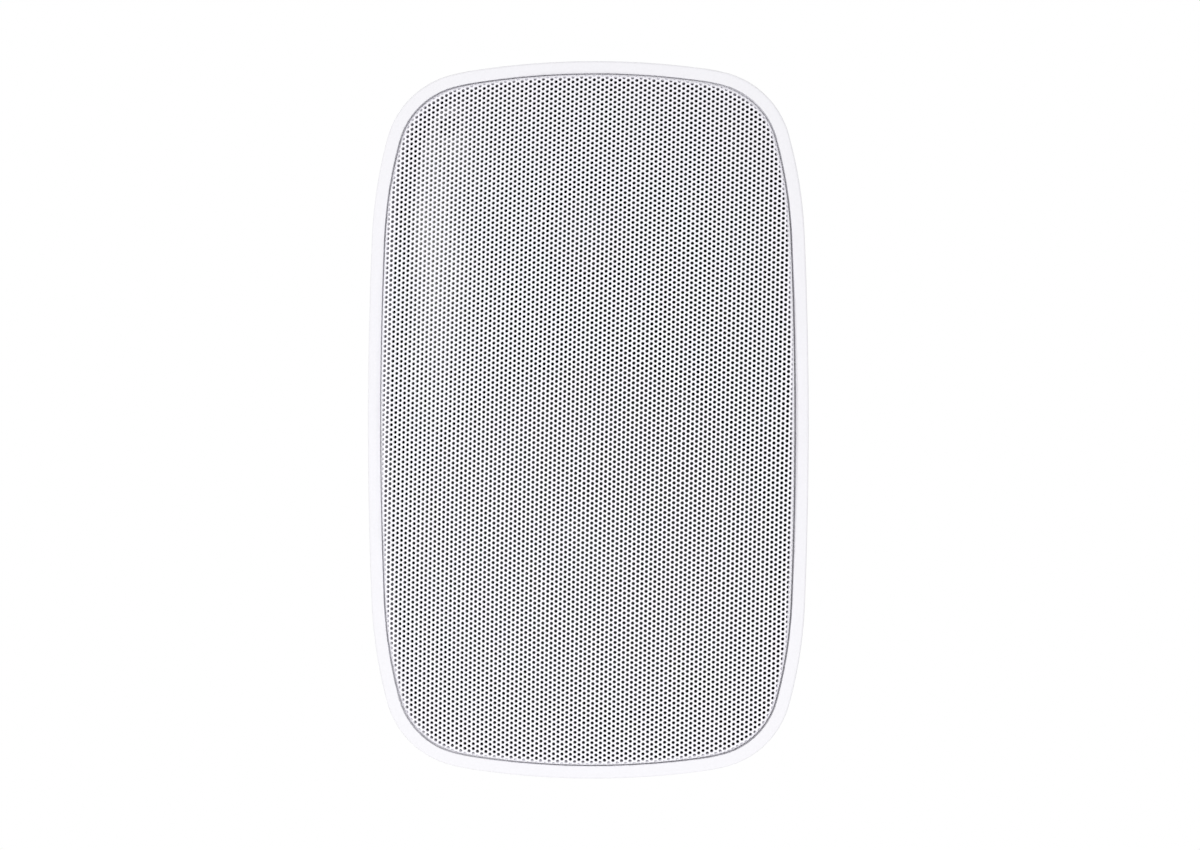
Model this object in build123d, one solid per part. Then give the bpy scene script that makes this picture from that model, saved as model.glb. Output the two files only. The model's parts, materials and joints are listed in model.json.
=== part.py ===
from build123d import *
from collections import namedtuple
from math import atan2, cos, degrees, radians, sin, sqrt
import os

# A two-way outdoor speaker: a tapered moulded cabinet, a dished perforated grille pressed into
# its rim, a crowned baffle with a rear-mounted woofer and dome tweeter, and a recessed pair of
# push terminals in the back. All lengths are in millimetres.
# Frame: +X to the right, +Z up, the front faces -Y. The origin is on the flat back, midway
# between the two bracket inserts. A "depth" below is counted backwards from the rim's front.

# Drivers on the front, which set its width and height
WOOFER_FLANGE_RADIUS = 77.0
WOOFER_SIDE_MARGIN = 13.0
WOOFER_END_MARGIN = 19.5
DRIVER_GAP = 20.5
TWEETER_FLANGE_RADIUS = 29.0
TWEETER_END_MARGIN = 40.0

# Front outline: arcs that turn by these angles, from the middle of a side to the middle of an end
CORNER_RADIUS = 36.0
SIDE_SHOULDER_RADIUS = 183.0
END_SHOULDER_RADIUS = 83.5
SIDE_TURN = 2.4
SIDE_SHOULDER_TURN = 13.0
CORNER_TURN = 60.2
END_SHOULDER_TURN = 6.2

# Cabinet
BODY_DEPTH = 160.0
SIDE_TAPER = 30.0
END_TAPER = 35.0
BACK_CORNER_RADIUS = 32.0
BACK_SIDE_SHOULDER_RADIUS = 110.0
BACK_END_SHOULDER_RADIUS = 70.0
BODY_BELLY = 4.0
BACK_EDGE_ROUND = 20.0
WALL = 3.2
RIM_WIDTH = 5.2
RIM_OUTER_ROUND = 0.8
RIM_INNER_ROUND = 0.3
GROOVE_DEPTH = 2.4
LEDGE_DEPTH = 22.0
LEDGE_WIDTH = 8.0
LEDGE_THICKNESS = 4.0
RIB_THICKNESS = 3.0

# Threaded inserts for a wall bracket on the back and for a yoke at top and bottom
INSERT_SPACING = 60.0
INSERT_RADIUS = 4.2
INSERT_BORE_RADIUS = 2.5
INSERT_LENGTH = 11.0
INSERT_WALL = 3.0
INSERT_FIT = 0.05
YOKE_DEPTH = 70.0
YOKE_SEAT_RADIUS = 12.0
YOKE_SEAT_SINK = 3.2

# Grille: one dished sheet with a rolled edge. The holes are drawn at a coarse pitch
GRILLE_SHEET = 1.0
GRILLE_GAP = 0.6
GRILLE_FIT = 0.15
GRILLE_ROLL = 1.4
GRILLE_PROUD = 8.0
GRILLE_CROWN_ACROSS = 5.0
GRILLE_CROWN_ALONG = 6.0
HOLE_PITCH = 19.0
HOLE_RADIUS = 6.5
HOLE_SIDES = 6
HOLE_LATTICE_TURN = -1.3
HOLE_EDGE_MARGIN = 2.8

# Baffle
BAFFLE_FIT = 0.3
BAFFLE_GASKET_THICKNESS = 1.5
BAFFLE_GASKET_WIDTH = 6.0
BAFFLE_FLANGE_THICKNESS = 3.5
BAFFLE_WALL = 3.5
BAFFLE_RISE = 12.0
BAFFLE_CROWN_RADIUS = 330.0
WOOFER_MOUTH_CHAMFER = 2.0

# Screws
SCREW_SIDE_INSET = 18.0
SCREW_CORNER_SIDE_INSET = 32.0
SCREW_CORNER_END_INSET = 25.0
SCREW_WELL_RADIUS = 4.5
SCREW_TOWER_WALL = 2.0
BAFFLE_SCREW_RADIUS = 1.75
BAFFLE_SCREW_LENGTH = 22.0
SMALL_SCREW_RADIUS = 1.25
SMALL_SCREW_BITE = 5.0
SCREW_HEAD_RATIO = 2.1
SCREW_HEAD_HEIGHT = 2.2
SCREW_CROSS_RATIO = 1.0
SCREW_CROSS_WIDTH_RATIO = 0.28
SCREW_CROSS_DEPTH = 1.2
SCREW_FIT = 0.05
SCREW_TIP_ROOM = 1.0
BOSS_WALL = 3.5
BOSS_SPARE = 4.0

# Woofer
WOOFER_SEAT_LIFT = 1.0
WOOFER_GASKET_THICKNESS = 1.5
WOOFER_GASKET_GAP = 0.4
BASKET_SHEET = 2.0
BASKET_THROAT_RADIUS = 66.5
BASKET_BASE_RADIUS = 44.5
BASKET_DEPTH = 38.0
BASKET_WINDOWS = 6
BASKET_WINDOW_WIDTH = 34.0
BASKET_WINDOW_START = 6.0
BASKET_WINDOW_END = 21.0
WOOFER_SCREW_COUNT = 4
SURROUND_RADIUS = 72.5
SURROUND_LAND = 2.7
SURROUND_SHEET = 1.2
CONE_RADIUS = 59.0
CONE_DEPTH = 26.0
CONE_SHEET = 1.0
DUST_CAP_RADIUS = 24.5
DUST_CAP_RISE = 8.0
DUST_CAP_SHEET = 1.0
FORMER_RADIUS = 13.0
FORMER_SHEET = 0.4
WINDING_THICKNESS = 0.5
WINDING_HEIGHT = 12.0
SPIDER_BEHIND_CONE = 3.0
SPIDER_SHEET = 0.8
GLUE_GAP = 0.05
MAGNET_GAP = 0.45
TOP_PLATE_RADIUS = 40.0
TOP_PLATE_THICKNESS = 6.0
MAGNET_RADIUS = 45.0
MAGNET_BORE_RADIUS = 22.0
MAGNET_THICKNESS = 17.0
YOKE_PLATE_RADIUS = 41.0
YOKE_PLATE_THICKNESS = 6.0

# Tweeter
TWEETER_SEAT_DEPTH = 7.0
TWEETER_SEAT_WALL = 3.0
THROAT_RADIUS = 16.8
THROAT_MOUTH_RADIUS = 20.5
FACEPLATE_THICKNESS = 2.5
FACEPLATE_BORE_RADIUS = 16.2
TWEETER_SCREW_COUNT = 3
TWEETER_SCREW_RADIUS = 24.5
DOME_RADIUS = 12.7
DOME_RISE = 6.0
DOME_SHEET = 0.6
TWEETER_SURROUND_RADIUS = 18.0
TWEETER_SURROUND_SHEET = 0.6
TWEETER_ROLL_HEIGHT = 1.4
TWEETER_COIL_SHEET = 0.3
TWEETER_COIL_LENGTH = 6.0
TWEETER_GAP = 0.4
TWEETER_PLATE_THICKNESS = 3.0
TWEETER_MAGNET_THICKNESS = 10.0
TWEETER_CUP_RADIUS = 19.5
TWEETER_CUP_WALL = 2.5

# Push terminals in the back
TERMINAL_WIDTH = 66.0
TERMINAL_HEIGHT = 48.0
TERMINAL_SINK = 3.0
TERMINAL_FLANGE_THICKNESS = 2.5
TERMINAL_FLANGE_ROUND = 5.0
TERMINAL_BORDER = 7.0
TERMINAL_POCKET_DEPTH = 13.0
TERMINAL_POCKET_ROUND = 3.0
TERMINAL_WALL = 2.0
TERMINAL_FLOOR = 2.5
TERMINAL_GASKET_THICKNESS = 1.0
TERMINAL_FIT = 0.3
TERMINAL_PAD = 4.0
TERMINAL_EDGE_MARGIN = 1.0
TERMINAL_SCREW_INSET = 3.8
LEVER_GAP = 1.5
LEVER_LENGTH = 13.5
LEVER_THICKNESS = 2.5
LEVER_STAND = 5.8
LEVER_HUB_RADIUS = 2.4
LEVER_RIDGES = 3
LEVER_RIDGE_RADIUS = 0.5
LEVER_RIDGE_PITCH = 2.2
LEVER_ABOVE_POCKET = 4.5
LEVER_PIVOT_HEIGHT = 4.5
PIVOT_RADIUS = 1.0
PIVOT_FIT = 0.05
PIVOT_SOCKET = 1.5
WIRE_HOLE_RADIUS = 1.75
WIRE_COLLAR_RADIUS = 4.2
WIRE_COLLAR_HEIGHT = 6.0
WIRE_HOLE_ABOVE_MIDDLE = 8.5
CONTACT_WIDTH = 4.0
CONTACT_SHEET = 0.8
CONTACT_TAB_LENGTH = 10.0
CONTACT_FOOT = 5.0
CONTACT_FIT = 0.1

# Crossover board on the inside of the back
BOARD_WIDTH = 70.0
BOARD_HEIGHT = 50.0
BOARD_THICKNESS = 1.6
BOARD_STANDOFF = 6.0
BOARD_STANDOFF_RADIUS = 4.0
BOARD_SCREW_INSET = 5.0
BOARD_ABOVE_INSERT = 6.0
BOARD_ROUND = 2.0
COIL_RADII = (14.0, 11.0)
COIL_BORE_RADIUS = 6.0
COIL_HEIGHT = 11.0
COIL_DROP = 6.0
CAPACITOR_RADIUS = 6.0
CAPACITOR_LENGTH = 22.0
COMPONENT_GAP = 2.0

# How far cutting shapes run past what they cut
OVERCUT = 1.0

# Derived sizes and places
FRONT_WIDTH = 2 * (WOOFER_FLANGE_RADIUS + WOOFER_SIDE_MARGIN)
FRONT_HEIGHT = (WOOFER_END_MARGIN + 2 * WOOFER_FLANGE_RADIUS + DRIVER_GAP
                + 2 * TWEETER_FLANGE_RADIUS + TWEETER_END_MARGIN)
WOOFER_Z = -FRONT_HEIGHT / 2 + WOOFER_END_MARGIN + WOOFER_FLANGE_RADIUS
TWEETER_Z = FRONT_HEIGHT / 2 - TWEETER_END_MARGIN - TWEETER_FLANGE_RADIUS

FLANGE_BACK = LEDGE_DEPTH - BAFFLE_GASKET_THICKNESS
FLANGE_FRONT = FLANGE_BACK - BAFFLE_FLANGE_THICKNESS
BAFFLE_CROWN = FLANGE_FRONT - BAFFLE_RISE
GRILLE_INSET = RIM_WIDTH + GRILLE_GAP
POCKET_INSET = GRILLE_INSET - GRILLE_FIT
PAN_INSET = GRILLE_INSET + GRILLE_SHEET + GRILLE_FIT
LEDGE_INSET = POCKET_INSET + LEDGE_WIDTH
TOWER_RADIUS = SCREW_WELL_RADIUS + SCREW_TOWER_WALL
BOSS_RADIUS = BAFFLE_SCREW_RADIUS + BOSS_WALL

WOOFER_SEAT = FLANGE_FRONT - WOOFER_SEAT_LIFT
WOOFER_FRONT = WOOFER_SEAT + WOOFER_GASKET_THICKNESS
BASKET_BACK = WOOFER_FRONT + BASKET_DEPTH
TOP_PLATE_BACK = BASKET_BACK + TOP_PLATE_THICKNESS
MAGNET_BACK = TOP_PLATE_BACK + MAGNET_THICKNESS
FORMER_OUTER = FORMER_RADIUS + FORMER_SHEET
WINDING_OUTER = FORMER_OUTER + WINDING_THICKNESS
CONE_NECK = WOOFER_FRONT + CONE_DEPTH
WINDING_MIDDLE = BASKET_BACK + TOP_PLATE_THICKNESS / 2
GASKET_INNER_RADIUS = SURROUND_RADIUS + WOOFER_GASKET_GAP
WOOFER_SCREW_CIRCLE = (GASKET_INNER_RADIUS + WOOFER_FLANGE_RADIUS) / 2

TWEETER_SEAT = BAFFLE_CROWN + TWEETER_SEAT_DEPTH
FACEPLATE_BACK = TWEETER_SEAT + FACEPLATE_THICKNESS
TWEETER_MOTOR = FACEPLATE_BACK + TWEETER_SURROUND_SHEET
TWEETER_PLATE_BACK = TWEETER_MOTOR + TWEETER_PLATE_THICKNESS
TWEETER_MAGNET_BACK = TWEETER_PLATE_BACK + TWEETER_MAGNET_THICKNESS
TWEETER_CUP_BACK = TWEETER_MAGNET_BACK + TWEETER_CUP_WALL
TWEETER_COIL_OUTER = DOME_RADIUS - DOME_SHEET
TWEETER_COIL_INNER = TWEETER_COIL_OUTER - TWEETER_COIL_SHEET

FLAT_BACK_LOW = -FRONT_HEIGHT / 2 + END_TAPER + BACK_EDGE_ROUND
TERMINAL_Z = FLAT_BACK_LOW + TERMINAL_EDGE_MARGIN + TERMINAL_HEIGHT / 2
TERMINAL_BACK = BODY_DEPTH - TERMINAL_SINK
TERMINAL_FRONT = TERMINAL_BACK - TERMINAL_FLANGE_THICKNESS
TERMINAL_SEAT = TERMINAL_FRONT - TERMINAL_GASKET_THICKNESS
POCKET_FLOOR = TERMINAL_BACK - TERMINAL_POCKET_DEPTH
POCKET_WIDTH = TERMINAL_WIDTH - 2 * TERMINAL_BORDER
POCKET_HEIGHT = TERMINAL_HEIGHT - 2 * TERMINAL_BORDER
LEVER_WIDTH = (POCKET_WIDTH - 3 * LEVER_GAP) / 2
LEVER_X = (LEVER_WIDTH + LEVER_GAP) / 2
PIVOT_Y = POCKET_FLOOR - BODY_DEPTH + LEVER_PIVOT_HEIGHT
PIVOT_Z = TERMINAL_Z - POCKET_HEIGHT / 2 + LEVER_ABOVE_POCKET

INSERT_BOSS_RADIUS = INSERT_RADIUS + INSERT_WALL
BOARD_Z = INSERT_SPACING / 2 + INSERT_BOSS_RADIUS + BOARD_ABOVE_INSERT + BOARD_HEIGHT / 2
INNER_BACK = BODY_DEPTH - WALL
BOARD_BACK = INNER_BACK - BOARD_STANDOFF
BOARD_FRONT = BOARD_BACK - BOARD_THICKNESS

Section = namedtuple("Section", "half_width half_height corner side_shoulder end_shoulder")
FRONT = Section(FRONT_WIDTH / 2, FRONT_HEIGHT / 2, CORNER_RADIUS,
                SIDE_SHOULDER_RADIUS, END_SHOULDER_RADIUS)
BACK = Section(FRONT_WIDTH / 2 - SIDE_TAPER, FRONT_HEIGHT / 2 - END_TAPER, BACK_CORNER_RADIUS,
               BACK_SIDE_SHOULDER_RADIUS, BACK_END_SHOULDER_RADIUS)


# Helpers

def at_depth(depth):
    """The front-view plane (X right, Z up) at a depth behind the rim's front."""
    return Plane.XZ.offset(BODY_DEPTH - depth)


def prism(face, front, back):
    """A front-view face made solid between two depths."""
    return extrude(at_depth(back) * face, amount=back - front)


def rod(x, z, radius, front, back):
    """A round bar that runs front to back."""
    return prism(Pos(x, z) * Circle(radius), front, back)


def ring(x, z, outer, inner, front, back):
    """A round tube that runs front to back."""
    return prism(Pos(x, z) * (Circle(outer) - Circle(inner)), front, back)


def turned(profile, z, x=0.0):
    """A (radius, depth) profile, as a face or a list of corners, turned about its own axis."""
    if isinstance(profile, list):
        profile = make_face(Polyline(*profile, close=True))
    return Pos(x, -BODY_DEPTH, z) * revolve(profile, Axis.Y)


def rounded_block(width, height, round_radius, x, z, front, back):
    """A block with rounded upright corners, seen from the front."""
    return prism(Pos(x, z) * RectangleRounded(width, height, round_radius), front, back)


def around(count, radius, z, start=0.0):
    """Evenly spaced points on a circle in the front view."""
    turns = [radians(start + 360.0 * i / count) for i in range(count)]
    return [(radius * cos(t), z + radius * sin(t)) for t in turns]


def group(solids):
    """Separate solids that share one node."""
    return Compound(children=list(solids))


def outline(section, inset=0.0):
    """The rounded front-view outline: tangent arcs, mirrored left to right and top to bottom.

    The side and end arcs take whatever radius closes the chain at the section's size.
    """
    turns = [SIDE_TURN, SIDE_SHOULDER_TURN, CORNER_TURN, END_SHOULDER_TURN]
    heading = [radians(sum(turns[:i])) for i in range(5)] + [radians(90.0)]
    given = [section.side_shoulder, section.corner, section.end_shoulder]
    across = section.half_width - sum(
        r * (cos(heading[i + 1]) - cos(heading[i + 2])) for i, r in enumerate(given))
    upward = section.half_height - sum(
        r * (sin(heading[i + 2]) - sin(heading[i + 1])) for i, r in enumerate(given))
    side_across, end_across = 1 - cos(heading[1]), cos(heading[4])
    side_up, end_up = sin(heading[1]), 1 - sin(heading[4])
    scale = side_across * end_up - end_across * side_up
    side = (across * end_up - end_across * upward) / scale
    end = (side_across * upward - side_up * across) / scale

    arcs = []
    radii = [side, *given, end]
    centre = Vector(section.half_width - side, 0)
    for i, radius in enumerate(radii):
        if i:
            step = radii[i - 1] - radius
            centre += Vector(step * cos(heading[i]), step * sin(heading[i]))
        middle = (heading[i] + heading[i + 1]) / 2
        arcs.append([centre + Vector(cos(t), sin(t)) * (radius - inset)
                     for t in (heading[i], middle, heading[i + 1])])

    def mirrored(points, x_sign, z_sign):
        return [(x_sign * p.X, z_sign * p.Y) for p in points]

    edges = []
    for x_sign in (1, -1):
        low, middle, high = arcs[0]
        edges.append(ThreePointArc((x_sign * high.X, -high.Y), (x_sign * low.X, 0),
                                   (x_sign * high.X, high.Y)))
        low, middle, high = arcs[-1]
        edges.append(ThreePointArc((-low.X, x_sign * low.Y), (0, x_sign * high.Y),
                                   (low.X, x_sign * low.Y)))
        for z_sign in (1, -1):
            edges += [ThreePointArc(*mirrored(points, x_sign, z_sign)) for points in arcs[1:-1]]
    return Face(Wire(edges))


def body_section(depth):
    """The cabinet's outer section at a depth: a straight taper with a slight belly."""
    share = depth / BODY_DEPTH
    belly = 4 * BODY_BELLY * share * (1 - share)
    values = [front + (back - front) * share for front, back in zip(FRONT, BACK)]
    return Section(values[0] + belly, values[1] + belly, *values[2:])


def lofted_body(front, back, inset, edge_round):
    """The tapered body between two depths, with its rear edge rounded."""
    depths = (front, (front + back) / 2, back)
    body = loft([at_depth(d) * outline(body_section(d), inset) for d in depths])
    rear = body.faces().sort_by(Axis.Y)[-1]
    return fillet(rear.edges(), edge_round)


def screw(x, z, radius, under_head, tip):
    """A pan-head cross screw that runs front to back; it points forward where its tip is in front."""
    head_radius = radius * SCREW_HEAD_RATIO
    outward = 1 if under_head > tip else -1
    head = under_head + outward * SCREW_HEAD_HEIGHT
    profile = [(0, tip), (radius, tip), (radius, under_head), (head_radius, under_head),
               (head_radius, under_head + outward * SCREW_HEAD_HEIGHT / 2),
               (head_radius / 2, head), (0, head)]
    length = head_radius * SCREW_CROSS_RATIO
    width = head_radius * SCREW_CROSS_WIDTH_RATIO
    cross = Rectangle(length, width) + Rectangle(width, length)
    front, back = sorted((head - outward * SCREW_CROSS_DEPTH, head + outward * OVERCUT))
    return turned(profile, z, x) - prism(Pos(x, z) * cross, front, back)


def screw_hole(x, z, front, back):
    """A pilot hole for a small screw, open past both depths."""
    return rod(x, z, SMALL_SCREW_RADIUS + SCREW_FIT, front - SCREW_TIP_ROOM, back + SCREW_TIP_ROOM)


def clear_hole(x, z, front, back):
    """A clearance hole for a small screw, open past both depths."""
    return rod(x, z, SMALL_SCREW_RADIUS + BAFFLE_FIT, front - OVERCUT, back + OVERCUT)


def baffle_screw_places():
    """The six baffle screws: one at each corner and one halfway up each side."""
    corner_x = FRONT_WIDTH / 2 - SCREW_CORNER_SIDE_INSET
    corner_z = FRONT_HEIGHT / 2 - SCREW_CORNER_END_INSET
    side_x = FRONT_WIDTH / 2 - SCREW_SIDE_INSET
    return [(x_sign * x, z) for x_sign in (1, -1)
            for x, z in ((side_x, 0.0), (corner_x, corner_z), (corner_x, -corner_z))]


def terminal_screw_places():
    """The four corners of the terminal plate."""
    x = TERMINAL_WIDTH / 2 - TERMINAL_SCREW_INSET
    z = TERMINAL_HEIGHT / 2 - TERMINAL_SCREW_INSET
    return [(x_sign * x, TERMINAL_Z + z_sign * z) for x_sign in (1, -1) for z_sign in (1, -1)]


def board_screw_places():
    """The four corners of the crossover board."""
    x = BOARD_WIDTH / 2 - BOARD_SCREW_INSET
    z = BOARD_HEIGHT / 2 - BOARD_SCREW_INSET
    return [(x_sign * x, BOARD_Z + z_sign * z) for x_sign in (1, -1) for z_sign in (1, -1)]


def woofer_screw_places():
    return around(WOOFER_SCREW_COUNT, WOOFER_SCREW_CIRCLE, WOOFER_Z, start=45.0)


def tweeter_screw_places():
    return around(TWEETER_SCREW_COUNT, TWEETER_SCREW_RADIUS, TWEETER_Z, start=90.0)


def yoke_seat_height():
    """How far the flat seats for a yoke stand above and below the middle."""
    return body_section(YOKE_DEPTH).half_height - YOKE_SEAT_SINK


def upright_rod(radius, low, high, depth):
    """A round bar that runs up and down in the middle of the width."""
    base = Plane.XY.offset(low) * (Pos(0, depth - BODY_DEPTH) * Circle(radius))
    return extrude(base, amount=high - low)


# Cabinet

def cabinet_bosses(outer):
    """Inner bosses for the baffle's screws, each with a rib to the nearest wall."""
    end = LEDGE_DEPTH + BAFFLE_SCREW_LENGTH + BOSS_SPARE
    bosses = []
    for x, z in baffle_screw_places():
        bosses.append(rod(x, z, BOSS_RADIUS, FLANGE_BACK, end))
        rib_length = SCREW_CORNER_SIDE_INSET
        outward = atan2(z, x) if z else atan2(0.0, x)
        rib = Rot(0, 0, degrees(outward)) * Pos(rib_length / 2, 0) * Rectangle(rib_length, RIB_THICKNESS)
        bosses.append(prism(Pos(x, z) * rib, LEDGE_DEPTH, end) & outer)
    return bosses


def cabinet_shell():
    outer = lofted_body(0.0, BODY_DEPTH, 0.0, BACK_EDGE_ROUND)
    rim_edges = outer.faces().sort_by(Axis.Y)[0].edges()
    outer = fillet(rim_edges, RIM_OUTER_ROUND)
    cavity = lofted_body(LEDGE_DEPTH + LEDGE_THICKNESS, INNER_BACK, WALL, BACK_EDGE_ROUND - WALL)
    groove = prism(outline(FRONT, RIM_WIDTH), -OVERCUT, GROOVE_DEPTH)
    pocket = prism(outline(FRONT, POCKET_INSET), GROOVE_DEPTH - OVERCUT, LEDGE_DEPTH)
    window = prism(outline(FRONT, LEDGE_INSET), LEDGE_DEPTH, LEDGE_DEPTH + LEDGE_THICKNESS + OVERCUT)
    shell = outer - cavity - groove - pocket - window
    rim = shell.faces().sort_by(Axis.Y)[0]
    shell = fillet(rim.inner_wires()[0].edges(), RIM_INNER_ROUND)

    seat = yoke_seat_height()
    boss_end = seat - INSERT_LENGTH - INSERT_WALL
    additions = cabinet_bosses(outer)
    for z in (INSERT_SPACING / 2, -INSERT_SPACING / 2):
        additions.append(rod(0, z, INSERT_BOSS_RADIUS, INNER_BACK - INSERT_LENGTH, INNER_BACK + OVERCUT))
    for x, z in board_screw_places():
        additions.append(rod(x, z, BOARD_STANDOFF_RADIUS, BOARD_BACK, INNER_BACK + OVERCUT))
    pad = TERMINAL_FIT + TERMINAL_WALL
    additions.append(rounded_block(TERMINAL_WIDTH + 2 * pad, TERMINAL_HEIGHT + 2 * pad,
                                   TERMINAL_FLANGE_ROUND + pad, 0, TERMINAL_Z,
                                   TERMINAL_SEAT - TERMINAL_PAD, INNER_BACK + OVERCUT))
    yoke_boss = YOKE_SEAT_RADIUS + INSERT_WALL
    for low, high in ((boss_end, FRONT_HEIGHT / 2), (-FRONT_HEIGHT / 2, -boss_end)):
        additions.append(upright_rod(yoke_boss, low, high, YOKE_DEPTH) & outer)
    cuts = []
    for x, z in baffle_screw_places():
        tip = FLANGE_FRONT + BAFFLE_SCREW_LENGTH + SCREW_TIP_ROOM
        cuts.append(rod(x, z, BAFFLE_SCREW_RADIUS + SCREW_FIT, FLANGE_BACK - OVERCUT, tip))
    for z in (INSERT_SPACING / 2, -INSERT_SPACING / 2):
        cuts.append(rod(0, z, INSERT_RADIUS + INSERT_FIT, BODY_DEPTH - INSERT_LENGTH, BODY_DEPTH + OVERCUT))
    for x, z in board_screw_places():
        cuts.append(screw_hole(x, z, BOARD_BACK, BOARD_BACK + SMALL_SCREW_BITE))
    cuts.append(rounded_block(TERMINAL_WIDTH + 2 * TERMINAL_FIT, TERMINAL_HEIGHT + 2 * TERMINAL_FIT,
                              TERMINAL_FLANGE_ROUND + TERMINAL_FIT, 0, TERMINAL_Z,
                              TERMINAL_SEAT, BODY_DEPTH + OVERCUT))
    cuts.append(terminal_body_block(TERMINAL_FIT, TERMINAL_SEAT - TERMINAL_PAD - OVERCUT, BODY_DEPTH))
    cuts += [screw_hole(x, z, TERMINAL_SEAT - SMALL_SCREW_BITE, TERMINAL_SEAT)
             for x, z in terminal_screw_places()]
    for low, high, bore_low, bore_high in (
            (seat, FRONT_HEIGHT / 2, seat - INSERT_LENGTH, seat),
            (-FRONT_HEIGHT / 2, -seat, -seat, -seat + INSERT_LENGTH)):
        cuts.append(upright_rod(YOKE_SEAT_RADIUS, low, high, YOKE_DEPTH))
        cuts.append(upright_rod(INSERT_RADIUS + INSERT_FIT, bore_low, bore_high, YOKE_DEPTH))
    return (shell + additions) - cuts


def insert(plane):
    """One threaded insert, flush with its plane and sunk along its back."""
    tube = Circle(INSERT_RADIUS) - Circle(INSERT_BORE_RADIUS)
    return extrude(plane * tube, amount=-INSERT_LENGTH)


def rear_inserts():
    places = [Pos(0, 0, z) for z in (INSERT_SPACING / 2, -INSERT_SPACING / 2)]
    back = Plane(origin=(0, 0, 0), x_dir=(1, 0, 0), z_dir=(0, 1, 0))
    return group(place * insert(back) for place in places)


def yoke_inserts():
    seat = yoke_seat_height()
    y = YOKE_DEPTH - BODY_DEPTH
    top = Plane(origin=(0, y, seat), x_dir=(1, 0, 0), z_dir=(0, 0, 1))
    bottom = Plane(origin=(0, y, -seat), x_dir=(1, 0, 0), z_dir=(0, 0, -1))
    return group([insert(top), insert(bottom)])


# Grille and baffle

def crowned_block(proud, across, along, inset, back):
    """A block with a barrel-shaped front, cut to the outline at an inset."""
    half_width = FRONT_WIDTH / 2 - inset
    half_height = FRONT_HEIGHT / 2 - inset
    across_radius = (half_width ** 2 + across ** 2) / (2 * across)
    along_radius = (half_height ** 2 + along ** 2) / (2 * along)
    front_y = -BODY_DEPTH - proud
    back_y = -BODY_DEPTH + back + OVERCUT
    reach = FRONT_WIDTH / 2
    drop = across_radius - sqrt(across_radius ** 2 - reach ** 2)
    arc = ThreePointArc((-reach, front_y + drop), (0, front_y), (reach, front_y + drop))
    sides = Polyline((reach, front_y + drop), (reach, back_y), (-reach, back_y), (-reach, front_y + drop))
    axis = Axis((0, front_y + along_radius, 0), (1, 0, 0))
    swing = degrees(FRONT_HEIGHT / along_radius)
    profile = make_face([arc, sides]).rotate(axis, -swing / 2)
    barrel = revolve(profile, axis, revolution_arc=swing)
    return barrel & prism(outline(FRONT, inset), -2 * proud, back)


def grille_skin(inset, sink, roll, back):
    """The dished form of one side of the grille's sheet."""
    block = crowned_block(GRILLE_PROUD - sink, GRILLE_CROWN_ACROSS, GRILLE_CROWN_ALONG, inset, back)
    front = block.faces().sort_by(Axis.Y)[0]
    return fillet(front.edges(), roll)


def grille_holes():
    """Staggered columns of holes, turned a little as the sheet was blanked."""
    field = outline(FRONT, GRILLE_INSET + GRILLE_ROLL + HOLE_EDGE_MARGIN + HOLE_RADIUS)
    column_step = HOLE_PITCH * cos(radians(30.0))
    columns = int(FRONT_WIDTH / 2 / column_step) + 1
    rows = int(FRONT_HEIGHT / 2 / HOLE_PITCH) + 1
    turn = radians(HOLE_LATTICE_TURN)
    cell = RegularPolygon(HOLE_RADIUS, HOLE_SIDES)
    holes = []
    for column in range(-columns, columns + 1):
        stagger = HOLE_PITCH / 2 * (column % 2)
        for row in range(-rows, rows + 1):
            across, upward = column * column_step, row * HOLE_PITCH + stagger
            x = across * cos(turn) - upward * sin(turn)
            z = across * sin(turn) + upward * cos(turn)
            if field.is_inside((x, z, 0)):
                holes.append(prism(Pos(x, z) * cell, -2 * GRILLE_PROUD, FLANGE_FRONT))
    return holes


def grille():
    outer = grille_skin(GRILLE_INSET, 0.0, GRILLE_ROLL, FLANGE_FRONT)
    inner = grille_skin(GRILLE_INSET + GRILLE_SHEET, GRILLE_SHEET, GRILLE_ROLL - GRILLE_SHEET,
                        FLANGE_FRONT + OVERCUT)
    return (outer - inner) - grille_holes()


def baffle_crown(sink, inset, back):
    """The baffle's crowned pan, rounded across its width only."""
    centre_depth = BAFFLE_CROWN + BAFFLE_CROWN_RADIUS
    bar = Plane.XY.offset(-FRONT_HEIGHT / 2) * (
        Pos(0, centre_depth - BODY_DEPTH) * Circle(BAFFLE_CROWN_RADIUS - sink))
    drum = extrude(bar, amount=FRONT_HEIGHT)
    return drum & prism(outline(FRONT, inset), BAFFLE_CROWN, back)


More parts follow.
